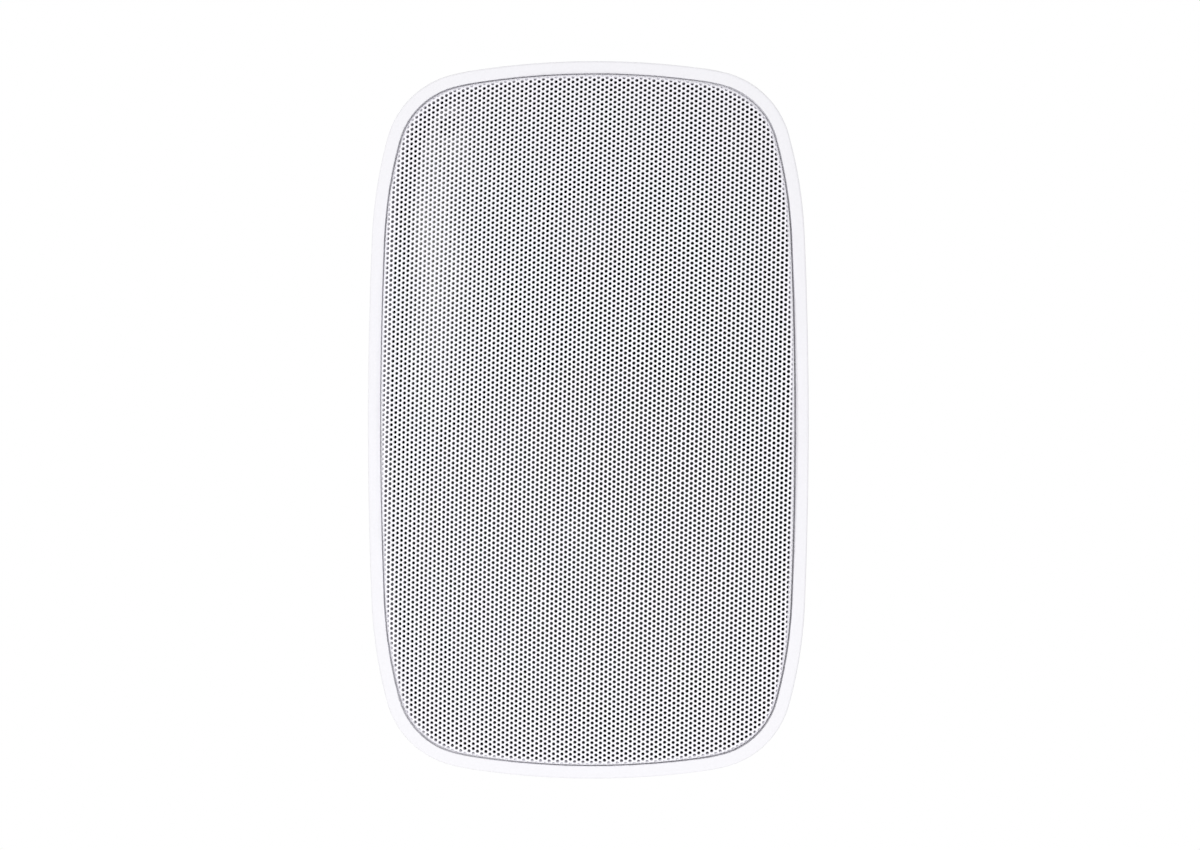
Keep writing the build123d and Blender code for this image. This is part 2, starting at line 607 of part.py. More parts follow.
def front_baffle():
    pan = baffle_crown(0.0, PAN_INSET, FLANGE_BACK)
    hollow = baffle_crown(BAFFLE_WALL, PAN_INSET + BAFFLE_WALL, FLANGE_BACK + OVERCUT)
    flange = prism(outline(FRONT, POCKET_INSET + BAFFLE_FIT), FLANGE_FRONT, FLANGE_BACK)
    flange -= prism(outline(FRONT, LEDGE_INSET), FLANGE_FRONT - OVERCUT, FLANGE_BACK + OVERCUT)
    baffle = (pan - hollow) + flange
    additions = [rod(0, WOOFER_Z, WOOFER_FLANGE_RADIUS, BAFFLE_CROWN, WOOFER_SEAT),
                 rod(0, TWEETER_Z, TWEETER_FLANGE_RADIUS + TWEETER_SEAT_WALL, BAFFLE_CROWN, TWEETER_SEAT)]
    additions += [rod(x, z, TOWER_RADIUS, BAFFLE_CROWN, FLANGE_BACK) for x, z in baffle_screw_places()]
    baffle += [addition & pan for addition in additions]
    cuts = [rod(0, WOOFER_Z, SURROUND_RADIUS, BAFFLE_CROWN - OVERCUT, WOOFER_SEAT + OVERCUT),
            rod(0, WOOFER_Z, WOOFER_FLANGE_RADIUS + BAFFLE_FIT, WOOFER_SEAT, FLANGE_BACK + OVERCUT)]
    cuts.append(turned([(0, BAFFLE_CROWN), (THROAT_MOUTH_RADIUS, BAFFLE_CROWN),
                        (THROAT_RADIUS, TWEETER_SEAT), (0, TWEETER_SEAT)], TWEETER_Z))
    for x, z in baffle_screw_places():
        cuts.append(rod(x, z, SCREW_WELL_RADIUS, BAFFLE_CROWN - OVERCUT, FLANGE_FRONT))
        cuts.append(rod(x, z, BAFFLE_SCREW_RADIUS + BAFFLE_FIT,
                        FLANGE_FRONT - OVERCUT, FLANGE_BACK + OVERCUT))
    for places, seat in ((woofer_screw_places(), WOOFER_SEAT), (tweeter_screw_places(), TWEETER_SEAT)):
        cuts += [screw_hole(x, z, seat - SMALL_SCREW_BITE, seat) for x, z in places]
    baffle -= cuts
    crown = baffle.faces().filter_by(GeomType.CYLINDER).sort_by(SortBy.AREA)[-1]
    mouth = max(crown.inner_wires(), key=lambda wire: wire.length)
    return chamfer(mouth.edges(), WOOFER_MOUTH_CHAMFER)


def baffle_gasket():
    outer = prism(outline(FRONT, POCKET_INSET + BAFFLE_FIT), FLANGE_BACK, LEDGE_DEPTH)
    inner_inset = POCKET_INSET + BAFFLE_FIT + BAFFLE_GASKET_WIDTH
    return outer - prism(outline(FRONT, inner_inset), FLANGE_BACK - OVERCUT, LEDGE_DEPTH + OVERCUT)


def baffle_screws():
    tip = FLANGE_FRONT + BAFFLE_SCREW_LENGTH
    return group(screw(x, z, BAFFLE_SCREW_RADIUS, FLANGE_FRONT, tip) for x, z in baffle_screw_places())


# Woofer

def basket_wall_radius(depth):
    """Inner radius of the basket's cone at a depth."""
    start = WOOFER_FRONT + BASKET_SHEET
    end = BASKET_BACK - BASKET_SHEET
    share = (depth - start) / (end - start)
    return BASKET_THROAT_RADIUS + (BASKET_BASE_RADIUS - BASKET_THROAT_RADIUS) * share


def woofer_basket():
    flange_back = WOOFER_FRONT + BASKET_SHEET
    base_front = BASKET_BACK - BASKET_SHEET
    bore = WINDING_OUTER + MAGNET_GAP
    basket = turned([
        (BASKET_THROAT_RADIUS, WOOFER_FRONT), (WOOFER_FLANGE_RADIUS, WOOFER_FRONT),
        (WOOFER_FLANGE_RADIUS, flange_back), (BASKET_THROAT_RADIUS + BASKET_SHEET, flange_back),
        (BASKET_BASE_RADIUS + BASKET_SHEET, BASKET_BACK), (bore, BASKET_BACK),
        (bore, base_front), (BASKET_BASE_RADIUS, base_front), (BASKET_THROAT_RADIUS, flange_back),
    ], WOOFER_Z)
    reach = WOOFER_FLANGE_RADIUS
    spoke = Pos(reach / 2, 0) * Rectangle(reach, BASKET_WINDOW_WIDTH)
    for i in range(BASKET_WINDOWS):
        window = Pos(0, WOOFER_Z) * Rot(0, 0, 360.0 * i / BASKET_WINDOWS) * spoke
        basket -= prism(window, WOOFER_FRONT + BASKET_WINDOW_START, WOOFER_FRONT + BASKET_WINDOW_END)
    return basket - [clear_hole(x, z, WOOFER_FRONT, flange_back) for x, z in woofer_screw_places()]


def woofer_gasket():
    gasket = ring(0, WOOFER_Z, WOOFER_FLANGE_RADIUS, GASKET_INNER_RADIUS, WOOFER_SEAT, WOOFER_FRONT)
    return gasket - [screw_hole(x, z, WOOFER_SEAT, WOOFER_FRONT) for x, z in woofer_screw_places()]


def woofer_surround():
    """A half-roll ring of rubber between the basket's flange and the cone's edge."""
    land = WOOFER_FRONT - SURROUND_SHEET
    outer = SURROUND_RADIUS - SURROUND_LAND
    inner = CONE_RADIUS
    middle = (outer + inner) / 2
    roll = ThreePointArc((outer, land), (middle, land - (outer - inner) / 2), (inner, land))
    edge = Polyline((inner, land), (inner - SURROUND_LAND, land), (inner - SURROUND_LAND, WOOFER_FRONT),
                    (SURROUND_RADIUS, WOOFER_FRONT), (SURROUND_RADIUS, land), (outer, land))
    return turned(make_face([roll, edge]), WOOFER_Z)


def woofer_cone():
    neck = FORMER_OUTER + GLUE_GAP
    return turned([(CONE_RADIUS, WOOFER_FRONT), (neck, CONE_NECK - CONE_SHEET), (neck, CONE_NECK),
                   (CONE_RADIUS, WOOFER_FRONT + CONE_SHEET)], WOOFER_Z)


def cone_face_depth(radius):
    """Depth of the cone's front face at a radius."""
    neck = FORMER_OUTER + GLUE_GAP
    share = (CONE_RADIUS - radius) / (CONE_RADIUS - neck)
    return WOOFER_FRONT + (CONE_DEPTH - CONE_SHEET) * share


def cap_profile(radius, rise, sheet, rim_depth):
    """Half the section of a thin domed cap whose rim is at a depth."""
    sphere = (radius ** 2 + rise ** 2) / (2 * rise)
    middle = radius / 2
    front = rim_depth - rise + sphere - sqrt(sphere ** 2 - middle ** 2)
    outer = ThreePointArc((radius, rim_depth), (middle, front), (0, rim_depth - rise))
    inner = ThreePointArc((0, rim_depth - rise + sheet), (middle, front + sheet), (radius - sheet, rim_depth))
    sides = [Line((0, rim_depth - rise), (0, rim_depth - rise + sheet)),
             Line((radius - sheet, rim_depth), (radius, rim_depth))]
    return make_face([outer, sides[0], inner, sides[1]])


def woofer_dust_cap():
    rim = cone_face_depth(DUST_CAP_RADIUS)
    return turned(cap_profile(DUST_CAP_RADIUS, DUST_CAP_RISE, DUST_CAP_SHEET, rim), WOOFER_Z)


def woofer_former():
    start = CONE_NECK - 2 * CONE_SHEET
    return ring(0, WOOFER_Z, FORMER_OUTER, FORMER_RADIUS, start, WINDING_MIDDLE + WINDING_HEIGHT / 2)


def woofer_winding():
    half = WINDING_HEIGHT / 2
    return ring(0, WOOFER_Z, WINDING_OUTER, FORMER_OUTER, WINDING_MIDDLE - half, WINDING_MIDDLE + half)


def woofer_spider():
    front = CONE_NECK + SPIDER_BEHIND_CONE
    outer = basket_wall_radius(front + SPIDER_SHEET) - GLUE_GAP
    return ring(0, WOOFER_Z, outer, FORMER_OUTER + GLUE_GAP, front, front + SPIDER_SHEET)


def woofer_top_plate():
    return ring(0, WOOFER_Z, TOP_PLATE_RADIUS, WINDING_OUTER + MAGNET_GAP, BASKET_BACK, TOP_PLATE_BACK)


def woofer_magnet():
    return ring(0, WOOFER_Z, MAGNET_RADIUS, MAGNET_BORE_RADIUS, TOP_PLATE_BACK, MAGNET_BACK)


def woofer_yoke():
    pole = FORMER_RADIUS - MAGNET_GAP
    back = MAGNET_BACK + YOKE_PLATE_THICKNESS
    return turned([(0, BASKET_BACK), (pole, BASKET_BACK), (pole, MAGNET_BACK),
                   (YOKE_PLATE_RADIUS, MAGNET_BACK), (YOKE_PLATE_RADIUS, back), (0, back)], WOOFER_Z)


def woofer_screws():
    back = WOOFER_FRONT + BASKET_SHEET
    tip = WOOFER_SEAT - SMALL_SCREW_BITE
    return group(screw(x, z, SMALL_SCREW_RADIUS, back, tip) for x, z in woofer_screw_places())


# Tweeter

def tweeter_faceplate():
    plate = ring(0, TWEETER_Z, TWEETER_FLANGE_RADIUS, FACEPLATE_BORE_RADIUS, TWEETER_SEAT, FACEPLATE_BACK)
    return plate - [clear_hole(x, z, TWEETER_SEAT, FACEPLATE_BACK) for x, z in tweeter_screw_places()]


def tweeter_surround():
    """A narrow rolled ring round the dome, clamped behind the faceplate."""
    inner = DOME_RADIUS + GLUE_GAP
    roll_end = FACEPLATE_BORE_RADIUS - TWEETER_SURROUND_SHEET
    middle = (inner + roll_end) / 2
    roll = ThreePointArc((inner, FACEPLATE_BACK), (middle, FACEPLATE_BACK - TWEETER_ROLL_HEIGHT),
                         (roll_end, FACEPLATE_BACK))
    edge = Polyline((roll_end, FACEPLATE_BACK), (TWEETER_SURROUND_RADIUS, FACEPLATE_BACK),
                    (TWEETER_SURROUND_RADIUS, TWEETER_MOTOR), (inner, TWEETER_MOTOR), (inner, FACEPLATE_BACK))
    return turned(make_face([roll, edge]), TWEETER_Z)


def tweeter_dome():
    return turned(cap_profile(DOME_RADIUS, DOME_RISE, DOME_SHEET, FACEPLATE_BACK), TWEETER_Z)


def tweeter_voice_coil():
    end = FACEPLATE_BACK + TWEETER_COIL_LENGTH
    return ring(0, TWEETER_Z, DOME_RADIUS, TWEETER_COIL_INNER, FACEPLATE_BACK, end)


def tweeter_pole_plate():
    return rod(0, TWEETER_Z, TWEETER_COIL_INNER - TWEETER_GAP, TWEETER_MOTOR, TWEETER_PLATE_BACK)


def tweeter_magnet():
    radius = TWEETER_COIL_INNER - 2 * TWEETER_GAP
    return rod(0, TWEETER_Z, radius, TWEETER_PLATE_BACK, TWEETER_MAGNET_BACK)


def tweeter_cup():
    gap = DOME_RADIUS + TWEETER_GAP
    wall = TWEETER_CUP_RADIUS - TWEETER_CUP_WALL
    return turned([(gap, TWEETER_MOTOR), (TWEETER_CUP_RADIUS, TWEETER_MOTOR),
                   (TWEETER_CUP_RADIUS, TWEETER_CUP_BACK), (0, TWEETER_CUP_BACK),
                   (0, TWEETER_MAGNET_BACK), (wall, TWEETER_MAGNET_BACK),
                   (wall, TWEETER_PLATE_BACK), (gap, TWEETER_PLATE_BACK)], TWEETER_Z)


def tweeter_screws():
    tip = TWEETER_SEAT - SMALL_SCREW_BITE
    return group(screw(x, z, SMALL_SCREW_RADIUS, FACEPLATE_BACK, tip) for x, z in tweeter_screw_places())


# Push terminals

def terminal_body_block(margin, front, back):
    """The terminal cup's body, grown by a margin, between two depths."""
    grown = TERMINAL_WALL + margin
    return rounded_block(POCKET_WIDTH + 2 * grown, POCKET_HEIGHT + 2 * grown, TERMINAL_POCKET_ROUND + grown,
                         0, TERMINAL_Z, front, back)


def terminal_x_bar(radius, half_length):
    """A bar along the levers' pivot."""
    base = Plane.YZ.offset(-half_length) * (Pos(PIVOT_Y, PIVOT_Z) * Circle(radius))
    return extrude(base, amount=2 * half_length)


def terminal_cup():
    cup = rounded_block(TERMINAL_WIDTH, TERMINAL_HEIGHT, TERMINAL_FLANGE_ROUND, 0, TERMINAL_Z,
                        TERMINAL_FRONT, TERMINAL_BACK)
    cup += terminal_body_block(0.0, POCKET_FLOOR - TERMINAL_FLOOR, TERMINAL_BACK)
    cup -= rounded_block(POCKET_WIDTH, POCKET_HEIGHT, TERMINAL_POCKET_ROUND, 0, TERMINAL_Z,
                         POCKET_FLOOR, TERMINAL_BACK + OVERCUT)
    wire_z = TERMINAL_Z + WIRE_HOLE_ABOVE_MIDDLE
    wire_end = POCKET_FLOOR - TERMINAL_FLOOR / 2
    collar_back = POCKET_FLOOR + WIRE_COLLAR_HEIGHT
    for x in (-LEVER_X, LEVER_X):
        cup += rod(x, wire_z, WIRE_COLLAR_RADIUS, wire_end, collar_back)
        cup -= rod(x, wire_z, WIRE_HOLE_RADIUS, wire_end, collar_back + OVERCUT)
        cup -= contact_tab(x, CONTACT_FIT)
    cup -= terminal_x_bar(PIVOT_RADIUS + PIVOT_FIT, POCKET_WIDTH / 2 + PIVOT_SOCKET)
    return cup - [clear_hole(x, z, TERMINAL_FRONT, TERMINAL_BACK) for x, z in terminal_screw_places()]


def terminal_gasket():
    gasket = rounded_block(TERMINAL_WIDTH, TERMINAL_HEIGHT, TERMINAL_FLANGE_ROUND, 0, TERMINAL_Z,
                           TERMINAL_SEAT, TERMINAL_FRONT)
    gasket -= terminal_body_block(TERMINAL_FIT, TERMINAL_SEAT - OVERCUT, TERMINAL_FRONT + OVERCUT)
    return gasket - [screw_hole(x, z, TERMINAL_SEAT, TERMINAL_FRONT) for x, z in terminal_screw_places()]


def terminal_screws():
    tip = TERMINAL_SEAT - SMALL_SCREW_BITE
    return group(screw(x, z, SMALL_SCREW_RADIUS, TERMINAL_BACK, tip) for x, z in terminal_screw_places())


def terminal_lever(x):
    """A sprung push lever: a hub on the pivot and a ridged paddle that stands up from it."""
    outer_y = PIVOT_Y + LEVER_STAND
    inner_y = outer_y - LEVER_THICKNESS
    top = PIVOT_Z + LEVER_LENGTH
    paddle = Polyline((PIVOT_Y, PIVOT_Z - LEVER_HUB_RADIUS), (outer_y, PIVOT_Z), (outer_y, top),
                      (inner_y, top), (inner_y, PIVOT_Z + LEVER_HUB_RADIUS),
                      (PIVOT_Y, PIVOT_Z + LEVER_HUB_RADIUS), close=True)
    profile = make_face(paddle) + Pos(PIVOT_Y, PIVOT_Z) * Circle(LEVER_HUB_RADIUS)
    profile -= Pos(PIVOT_Y, PIVOT_Z) * Circle(PIVOT_RADIUS + PIVOT_FIT)
    for i in range(LEVER_RIDGES):
        profile += Pos(outer_y, top - (i + 1) * LEVER_RIDGE_PITCH) * Circle(LEVER_RIDGE_RADIUS)
    return extrude(Plane.YZ.offset(x - LEVER_WIDTH / 2) * profile, amount=LEVER_WIDTH)


def terminal_pivot_pin():
    return terminal_x_bar(PIVOT_RADIUS, POCKET_WIDTH / 2 + PIVOT_SOCKET - PIVOT_FIT)


def contact_tab(x, margin):
    """A contact's straight tab, grown by a margin, from inside the cabinet to the pocket's floor."""
    face = Pos(x, TERMINAL_Z) * Rectangle(CONTACT_WIDTH + 2 * margin, CONTACT_SHEET + 2 * margin)
    return prism(face, POCKET_FLOOR - TERMINAL_FLOOR - CONTACT_TAB_LENGTH, POCKET_FLOOR + CONTACT_SHEET)


def terminal_contact(x):
    """A sprung strip: a foot on the pocket's floor and a tab through it into the cabinet."""
    foot = Pos(x, TERMINAL_Z - CONTACT_FOOT / 2) * Rectangle(CONTACT_WIDTH, CONTACT_FOOT)
    return contact_tab(x, 0.0) + prism(foot, POCKET_FLOOR, POCKET_FLOOR + CONTACT_SHEET)


def terminal_contacts():
    return group(terminal_contact(x) for x in (-LEVER_X, LEVER_X))


# Crossover

def crossover_board():
    board = rounded_block(BOARD_WIDTH, BOARD_HEIGHT, BOARD_ROUND, 0, BOARD_Z, BOARD_FRONT, BOARD_BACK)
    return board - [clear_hole(x, z, BOARD_FRONT, BOARD_BACK) for x, z in board_screw_places()]


def crossover_screws():
    tip = BOARD_BACK + SMALL_SCREW_BITE
    return group(screw(x, z, SMALL_SCREW_RADIUS, BOARD_FRONT, tip) for x, z in board_screw_places())


def crossover_coils():
    """Two air-cored coils side by side on the board's lower half."""
    places = (-COIL_RADII[0] - COMPONENT_GAP / 2, COIL_RADII[1] + COMPONENT_GAP / 2)
    z = BOARD_Z - COIL_DROP
    return group(ring(x, z, radius, COIL_BORE_RADIUS, BOARD_FRONT - COIL_HEIGHT, BOARD_FRONT)
                 for x, radius in zip(places, COIL_RADII))


def lying_rod(radius, length, x, z):
    """A round component that lies across the board."""
    centre_y = BOARD_FRONT - BODY_DEPTH - radius
    base = Plane.YZ.offset(x - length / 2) * (Pos(centre_y, z) * Circle(radius))
    return extrude(base, amount=length)


def crossover_capacitors():
    """Two capacitors lying end to end above the coils."""
    z = BOARD_Z - COIL_DROP + COIL_RADII[0] + COMPONENT_GAP + CAPACITOR_RADIUS
    offset = (CAPACITOR_LENGTH + COMPONENT_GAP) / 2
    return group(lying_rod(CAPACITOR_RADIUS, CAPACITOR_LENGTH, x, z) for x in (-offset, offset))


NODES = {
    "cabinet_shell": cabinet_shell,
    "rear_inserts": rear_inserts,
    "yoke_inserts": yoke_inserts,
    "grille": grille,
    "front_baffle": front_baffle,
    "baffle_gasket": baffle_gasket,
    "baffle_screws": baffle_screws,
    "woofer_basket": woofer_basket,
    "woofer_gasket": woofer_gasket,
    "woofer_surround": woofer_surround,
    "woofer_cone": woofer_cone,
    "woofer_dust_cap": woofer_dust_cap,
    "woofer_former": woofer_former,
    "woofer_winding": woofer_winding,
    "woofer_spider": woofer_spider,
    "woofer_top_plate": woofer_top_plate,
    "woofer_magnet": woofer_magnet,
    "woofer_yoke": woofer_yoke,
    "woofer_screws": woofer_screws,
    "tweeter_faceplate": tweeter_faceplate,
    "tweeter_surround": tweeter_surround,
    "tweeter_dome": tweeter_dome,
    "tweeter_voice_coil": tweeter_voice_coil,
    "tweeter_pole_plate": tweeter_pole_plate,
    "tweeter_magnet": tweeter_magnet,
    "tweeter_cup": tweeter_cup,
    "tweeter_screws": tweeter_screws,
    "terminal_cup": terminal_cup,
    "terminal_gasket": terminal_gasket,
    "terminal_screws": terminal_screws,
    "terminal_lever_red": lambda: terminal_lever(LEVER_X),
    "terminal_lever_black": lambda: terminal_lever(-LEVER_X),
    "terminal_pivot_pin": terminal_pivot_pin,
    "terminal_contacts": terminal_contacts,
    "crossover_board": crossover_board,
    "crossover_screws": crossover_screws,
    "crossover_coils": crossover_coils,
    "crossover_capacitors": crossover_capacitors,
}

os.makedirs("parts", exist_ok=True)
for node, build in NODES.items():
    export_step(build(), f"parts/{node}.step")
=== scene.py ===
import json
import math

import bpy
import numpy as np
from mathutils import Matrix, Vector


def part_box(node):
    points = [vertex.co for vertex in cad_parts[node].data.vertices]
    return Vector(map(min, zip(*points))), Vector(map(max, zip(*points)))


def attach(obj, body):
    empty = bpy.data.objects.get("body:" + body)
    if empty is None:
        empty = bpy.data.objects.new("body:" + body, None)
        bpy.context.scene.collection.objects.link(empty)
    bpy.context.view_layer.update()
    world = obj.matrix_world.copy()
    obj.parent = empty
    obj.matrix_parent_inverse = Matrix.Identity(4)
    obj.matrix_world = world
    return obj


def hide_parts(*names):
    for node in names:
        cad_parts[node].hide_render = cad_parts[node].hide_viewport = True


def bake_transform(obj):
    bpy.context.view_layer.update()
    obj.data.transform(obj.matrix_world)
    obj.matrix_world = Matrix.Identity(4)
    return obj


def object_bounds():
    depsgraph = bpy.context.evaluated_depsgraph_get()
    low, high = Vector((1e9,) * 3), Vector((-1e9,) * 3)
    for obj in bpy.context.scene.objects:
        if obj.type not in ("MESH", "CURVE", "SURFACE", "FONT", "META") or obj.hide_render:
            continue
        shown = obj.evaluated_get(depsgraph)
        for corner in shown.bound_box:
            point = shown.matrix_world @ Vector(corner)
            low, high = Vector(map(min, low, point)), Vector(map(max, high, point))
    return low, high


# An outdoor speaker with a white moulded cabinet and a dished, finely perforated grille.
# Lengths are in metres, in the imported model's frame: +X right, +Z up, the front faces -Y.

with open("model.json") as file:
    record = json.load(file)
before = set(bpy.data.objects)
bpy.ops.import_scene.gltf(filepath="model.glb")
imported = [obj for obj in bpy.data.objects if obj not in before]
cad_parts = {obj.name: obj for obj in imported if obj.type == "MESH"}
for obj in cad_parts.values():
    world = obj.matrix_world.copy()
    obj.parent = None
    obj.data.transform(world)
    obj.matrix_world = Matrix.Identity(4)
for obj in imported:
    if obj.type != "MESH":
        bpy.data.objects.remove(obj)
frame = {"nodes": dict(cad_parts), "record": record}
CAD_LOW, CAD_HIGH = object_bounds()

# Camera: the picture's size, a metre at the rim and the rim's middle, in pixels, then the camera's place
PICTURE_WIDTH = 1200
PICTURE_HEIGHT = 850
PIXELS_PER_METRE = 2460.0
RIM_MIDDLE_PIXEL = (587.0, 419.3)
CAMERA_AZIMUTH = 4.5
CAMERA_ELEVATION = -0.7
CAMERA_DISTANCE = 1.25
SENSOR_WIDTH = 36.0
BODY_DEPTH = 0.160
RIM_FRONT = CAD_HIGH.y - BODY_DEPTH

# Grille: a dished sheet, rolled over at its edge, with round holes in staggered columns
SHEET = 0.001
ROLL_RADIUS = 0.0014
CROWN_ACROSS = 0.005
CROWN_ALONG = 0.006
HOLE_PITCH = 0.0020
HOLE_RADIUS = 0.00069
HOLE_SIDES = 12
LATTICE_TURN = math.radians(-1.3)
GRILLE_PIECES = 5
SAME_POINT = HOLE_PITCH / 100
ROLL_TRIES = 3
GRILLE_LOW, GRILLE_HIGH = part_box("grille")
FLANGE_END = GRILLE_HIGH.y

# Grille outline: tangent arcs that turn by these degrees, from the middle of a side to the middle of an end.
# The first and the last arc get the radii that close it
SIDE_SHOULDER_RADIUS = 0.1772
CORNER_RADIUS = 0.0302
END_SHOULDER_RADIUS = 0.0777
ARC_TURNS = (2.4, 13.0, 60.2, 6.2)
HEADING_SLACK = 1e-9
TINY = 1e-12

# Threaded inserts
INSERT_LENGTH = 0.011
INSERT_RADIUS = 0.0042
INSERT_CHAMFER = 0.0005
THREAD_MINOR_RADIUS = 0.0025
THREAD_DEPTH = 0.0005
THREAD_PITCH = 0.001
THREAD_SIDES = 32
THREAD_STEPS = 6
MOUTH_SLOPE = 2

# Suspensions of the cone and the dome
CONE_RADIUS = 0.059
SURROUND_LAND = 0.0027
SURROUND_SHEET = 0.0012
SURROUND_SIDES = 128
SPIDER_INNER = 0.01345
SPIDER_LAND = 0.004
SPIDER_SWING = 0.0011
SPIDER_WAVES = 5
SPIDER_SHEET = 0.0005
SPIDER_SIDES = 72
DOME_EDGE = 0.01275
TWEETER_ROLL_END = 0.0156
TWEETER_ROLL_SHEET = 0.0006
TWEETER_ROLL_SIDES = 96
ROLL_THINNING = 0.75
ROLL_STEPS = 18
WAVE_STEPS = 8

# Fine noise in every material
NOISE_DETAIL = 3.0
NOISE_LOW = 0.3
NOISE_HIGH = 0.7
LEAST_ROUGHNESS = 0.02


# Mesh helpers

def add_mesh(name, points, triangles, slot):
    """A mesh piece from arrays, in its slot's material."""
    mesh = bpy.data.meshes.new(name)
    mesh.vertices.add(len(points))
    mesh.vertices.foreach_set("co", np.asarray(points, np.float32).ravel())
    mesh.loops.add(3 * len(triangles))
    mesh.loops.foreach_set("vertex_index", np.asarray(triangles, np.int32).ravel())
    mesh.polygons.add(len(triangles))
    mesh.polygons.foreach_set("loop_start", np.arange(0, 3 * len(triangles), 3, dtype=np.int32))
    mesh.polygons.foreach_set("use_smooth", np.ones(len(triangles), bool))
    mesh.update(calc_edges=True)
    mesh.materials.append(MATERIALS[slot])
    piece = bpy.data.objects.new(name, mesh)
    bpy.context.scene.collection.objects.link(piece)
    return piece


def set_normals(piece, normals):
    """Gives each corner of each triangle its own normal."""
    piece.data.normals_split_custom_set(np.asarray(normals, np.float32).reshape(-1, 3))


def unit(vectors):
    return vectors / np.linalg.norm(vectors, axis=-1, keepdims=True)


# Grille

def outline_arcs():
    """Centre, radius and heading range of each arc in the quarter of the outline with x, z > 0."""
    headings = [math.radians(sum(ARC_TURNS[:i])) for i in range(5)] + [math.pi / 2]
    given = (SIDE_SHOULDER_RADIUS, CORNER_RADIUS, END_SHOULDER_RADIUS)
    across, upward = GRILLE_HIGH.x, GRILLE_HIGH.z
    for radius, low, high in zip(given, headings[1:4], headings[2:5]):
        across -= radius * (math.cos(low) - math.cos(high))
        upward -= radius * (math.sin(high) - math.sin(low))
    closing = [[1 - math.cos(headings[1]), math.cos(headings[4])],
               [math.sin(headings[1]), 1 - math.sin(headings[4])]]
    side, end = np.linalg.solve(closing, [across, upward])
    radii = [side, *given, end]
    centre = np.array([GRILLE_HIGH.x - side, 0.0])
    arcs = []
    for i, radius in enumerate(radii):
        if i:
            step = radii[i - 1] - radius
            centre = centre + step * np.array([math.cos(headings[i]), math.sin(headings[i])])
        arcs.append((centre, radius, headings[i], headings[i + 1]))
    return arcs


def edge_distance(x, z):
    """How far inside the outline flat points lie, and the outward direction of the outline there."""
    inset = np.full(x.shape, np.inf)
    out = np.zeros(x.shape + (2,))
    out[..., 0] = 1.0
    for centre, radius, low, high in outline_arcs():
        dx, dz = np.abs(x) - centre[0], np.abs(z) - centre[1]
        heading = np.arctan2(dz, dx)
        here = radius - np.hypot(dx, dz)
        nearer = (heading >= low - HEADING_SLACK) & (heading <= high + HEADING_SLACK) & (here < inset)
        inset = np.where(nearer, here, inset)
        out[nearer, 0] = (np.cos(heading) * np.sign(x))[nearer]
        out[nearer, 1] = (np.sin(heading) * np.sign(z))[nearer]
    return inset, out


def crown(x, z):
    """The crowned face's y and its slopes along x and z: an arc across, swung on a longer arc along."""
    across = (GRILLE_HIGH.x ** 2 + CROWN_ACROSS ** 2) / (2 * CROWN_ACROSS)
    along = (GRILLE_HIGH.z ** 2 + CROWN_ALONG ** 2) / (2 * CROWN_ALONG)
    chord = np.sqrt(across ** 2 - x ** 2)
    reach = along - across + chord
    height = np.sqrt(reach ** 2 - z ** 2)
    return GRILLE_LOW.y + along - height, reach * x / (height * chord), z / height


def fold(x, z):
    """Flat points of the blank on the dished sheet's front.

    Gives places, normals, how far past the roll they lie, and whether they lie past the flange's end.
    """
    inset, out = edge_distance(x, z)
    start = np.full(x.shape, ROLL_RADIUS)
    for _ in range(ROLL_TRIES):
        past = np.maximum(start - inset, 0.0)
        foot_x, foot_z = x - out[..., 0] * past, z - out[..., 1] * past
        y, slope_x, slope_z = crown(foot_x, foot_z)
        lean = np.arctan(slope_x * out[..., 0] + slope_z * out[..., 1])
        start = ROLL_RADIUS * (1 - np.sin(lean))
    bend = np.minimum(lean + past / ROLL_RADIUS, math.pi / 2)
    straight = np.maximum(past - ROLL_RADIUS * (math.pi / 2 - lean), 0.0)
    y = y + ROLL_RADIUS * (np.cos(lean) - np.cos(bend)) + straight
    outward = ROLL_RADIUS * (np.sin(bend) - np.sin(lean))
    place = np.stack([foot_x + out[..., 0] * outward, np.minimum(y, FLANGE_END),
                      foot_z + out[..., 1] * outward], -1)
    skew = (slope_z * out[..., 0] - slope_x * out[..., 1]) / np.sqrt(1 + slope_x ** 2 + slope_z ** 2)
    level = np.sqrt(1 - skew ** 2)
    normal = np.stack([level * np.sin(bend) * out[..., 0] - skew * out[..., 1], -level * np.cos(bend),
                       level * np.sin(bend) * out[..., 1] + skew * out[..., 0]], -1)
    return place, normal, straight, y >= FLANGE_END


def lattice():
    """Flat centres and column numbers of the six-sided cells that cover the blank, turned a little on it."""
    column_step = HOLE_PITCH * math.cos(math.radians(30))
    flange = FLANGE_END - GRILLE_LOW.y
    columns = int((GRILLE_HIGH.x + flange) / column_step) + 1
    rows = int((GRILLE_HIGH.z + flange) / HOLE_PITCH) + 1
    column, row = np.meshgrid(np.arange(-columns, columns + 1), np.arange(-rows, rows + 1), indexing="ij")
    across = column * column_step
    upward = (row + 0.5 * (column % 2)) * HOLE_PITCH
    x = across * math.cos(LATTICE_TURN) - upward * math.sin(LATTICE_TURN)
    z = across * math.sin(LATTICE_TURN) + upward * math.cos(LATTICE_TURN)
    return x.ravel(), z.ravel(), column.ravel()


def around_cells(x, z, radius, count):
    """Flat points round each cell's centre."""
    turns = LATTICE_TURN + np.arange(count) * 2 * math.pi / count
    return x[:, None] + radius * np.cos(turns), z[:, None] + radius * np.sin(turns)


